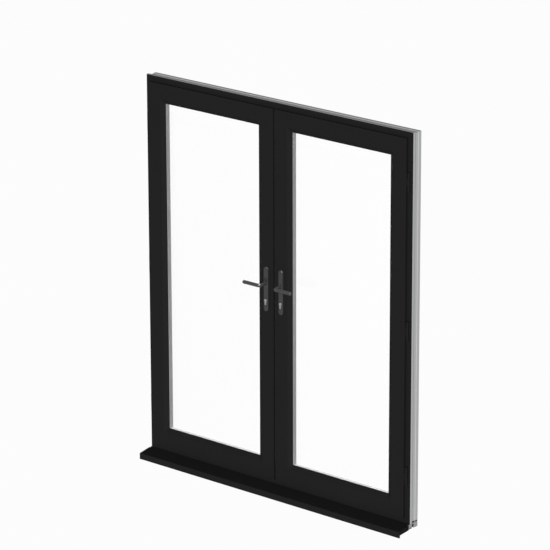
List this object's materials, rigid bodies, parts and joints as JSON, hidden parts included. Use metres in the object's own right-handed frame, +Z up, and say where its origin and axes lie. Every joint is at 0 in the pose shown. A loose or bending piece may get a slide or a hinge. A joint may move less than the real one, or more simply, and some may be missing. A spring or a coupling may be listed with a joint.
{
  "type": "french doors",
  "caption": "Outward-opening glazed french doors in a dark frame on a sloping cill, with levers outside and turns inside on long backplates, hinged leaves and bolts thrown by the levers.",
  "frame": {"origin": "on the cill's seat, at mid width, in the plane of the frame's outer face", "axes": "+X to the right seen from outside, +Y in to the room, +Z up"},
  "size_m": [1.798, 0.173, 2.1485],
  "materials": {
    "foiled_profile": "dark satin foil on the outer faces, light grey plastic elsewhere",
    "end_cap_plastic": "dark satin",
    "grey_profile": "light grey satin",
    "gasket_rubber": "matt",
    "galvanised_steel": "dull zinc",
    "lock_steel": "satin",
    "cylinder_metal": "satin nickel",
    "hinge_metal": "dark satin",
    "handle_metal": "dark satin",
    "pane_glass": "clear",
    "spacer": "satin",
    "block_plastic": "matt"
  },
  "bodies": {
    "frame": {"frame_head": "foiled_profile", "frame_left_jamb": "foiled_profile", "frame_right_jamb": "foiled_profile", "frame_bottom_rail": "foiled_profile", "frame_steels": "galvanised_steel", "frame_gasket": "gasket_rubber", "bolt_keeps": "lock_steel", "cill": "foiled_profile", "cill_end_caps": "end_cap_plastic", "frame_hinge_leaves": "hinge_metal", "hinge_pins": "hinge_metal"},
    "left_leaf": {"left_hinge_stile": "foiled_profile", "left_lock_stile": "foiled_profile", "left_top_rail": "foiled_profile", "left_bottom_rail": "foiled_profile", "left_sash_steels": "galvanised_steel", "left_weather_seal": "gasket_rubber", "left_sash_hinges": "hinge_metal", "left_outer_pane": "pane_glass", "left_inner_pane": "pane_glass", "left_spacer_bar": "spacer", "left_setting_blocks": "block_plastic", "left_glazing_gaskets": "gasket_rubber", "left_glazing_beads": "grey_profile", "left_lock_case": "lock_steel", "left_lock_faceplate": "lock_steel", "left_lock_cylinder": "cylinder_metal", "left_outer_backplate": "handle_metal", "left_inner_backplate": "handle_metal"},
    "left_handle": {"left_outer_lever": "handle_metal", "left_inner_turn": "handle_metal", "left_spindle": "lock_steel"},
    "left_top_bolt": {"left_top_bolt": "lock_steel"},
    "left_bottom_bolt": {"left_bottom_bolt": "lock_steel"},
    "right_leaf": {"right_hinge_stile": "foiled_profile", "right_lock_stile": "foiled_profile", "right_top_rail": "foiled_profile", "right_bottom_rail": "foiled_profile", "right_sash_steels": "galvanised_steel", "right_weather_seal": "gasket_rubber", "right_sash_hinges": "hinge_metal", "right_outer_pane": "pane_glass", "right_inner_pane": "pane_glass", "right_spacer_bar": "spacer", "right_setting_blocks": "block_plastic", "right_glazing_gaskets": "gasket_rubber", "right_glazing_beads": "grey_profile", "right_lock_case": "lock_steel", "right_lock_faceplate": "lock_steel", "right_lock_cylinder": "cylinder_metal", "right_outer_backplate": "handle_metal", "right_inner_backplate": "handle_metal", "right_meeting_profile": "foiled_profile"},
    "right_handle": {"right_outer_lever": "handle_metal", "right_inner_turn": "handle_metal", "right_spindle": "lock_steel"},
    "right_top_bolt": {"right_top_bolt": "lock_steel"},
    "right_bottom_bolt": {"right_bottom_bolt": "lock_steel"}
  },
  "joints": [
    {"name": "left_leaf_swing", "type": "hinge", "parent": "frame", "child": "left_leaf", "pos_m": [-0.8745, -0.0095, 1.078], "axis": [0, 0, -1], "range_deg": [0, 100]},
    {"name": "left_lever_turn", "type": "hinge", "parent": "left_leaf", "child": "left_handle", "pos_m": [-0.05025, 0.011, 1.146], "axis": [0, 1, 0], "range_deg": [-35, 35], "stiffness_Nm_per_rad": 5, "springref_deg": 2.86},
    {"name": "left_top_bolt_slide", "type": "slide", "parent": "left_leaf", "child": "left_top_bolt", "axis": [0, 0, 1], "range_m": [-0.0161, 0.0161]},
    {"name": "left_bottom_bolt_slide", "type": "slide", "parent": "left_leaf", "child": "left_bottom_bolt", "axis": [0, 0, -1], "range_m": [-0.0161, 0.0161]},
    {"name": "right_leaf_swing", "type": "hinge", "parent": "frame", "child": "right_leaf", "pos_m": [0.8745, -0.0095, 1.078], "axis": [0, 0, 1], "range_deg": [0, 100]},
    {"name": "right_lever_turn", "type": "hinge", "parent": "right_leaf", "child": "right_handle", "pos_m": [0.05025, 0.011, 1.146], "axis": [0, -1, 0], "range_deg": [-35, 35], "stiffness_Nm_per_rad": 5, "springref_deg": 2.86},
    {"name": "right_top_bolt_slide", "type": "slide", "parent": "right_leaf", "child": "right_top_bolt", "axis": [0, 0, 1], "range_m": [-0.0161, 0.0161]},
    {"name": "right_bottom_bolt_slide", "type": "slide", "parent": "right_leaf", "child": "right_bottom_bolt", "axis": [0, 0, -1], "range_m": [-0.0161, 0.0161]}
  ],
  "couplings": [
    {"joint": "left_top_bolt_slide", "follows": "left_lever_turn", "m_per_rad": 0.026192},
    {"joint": "left_bottom_bolt_slide", "follows": "left_lever_turn", "m_per_rad": 0.026192},
    {"joint": "right_top_bolt_slide", "follows": "right_lever_turn", "m_per_rad": 0.026192},
    {"joint": "right_bottom_bolt_slide", "follows": "right_lever_turn", "m_per_rad": 0.026192}
  ]
}
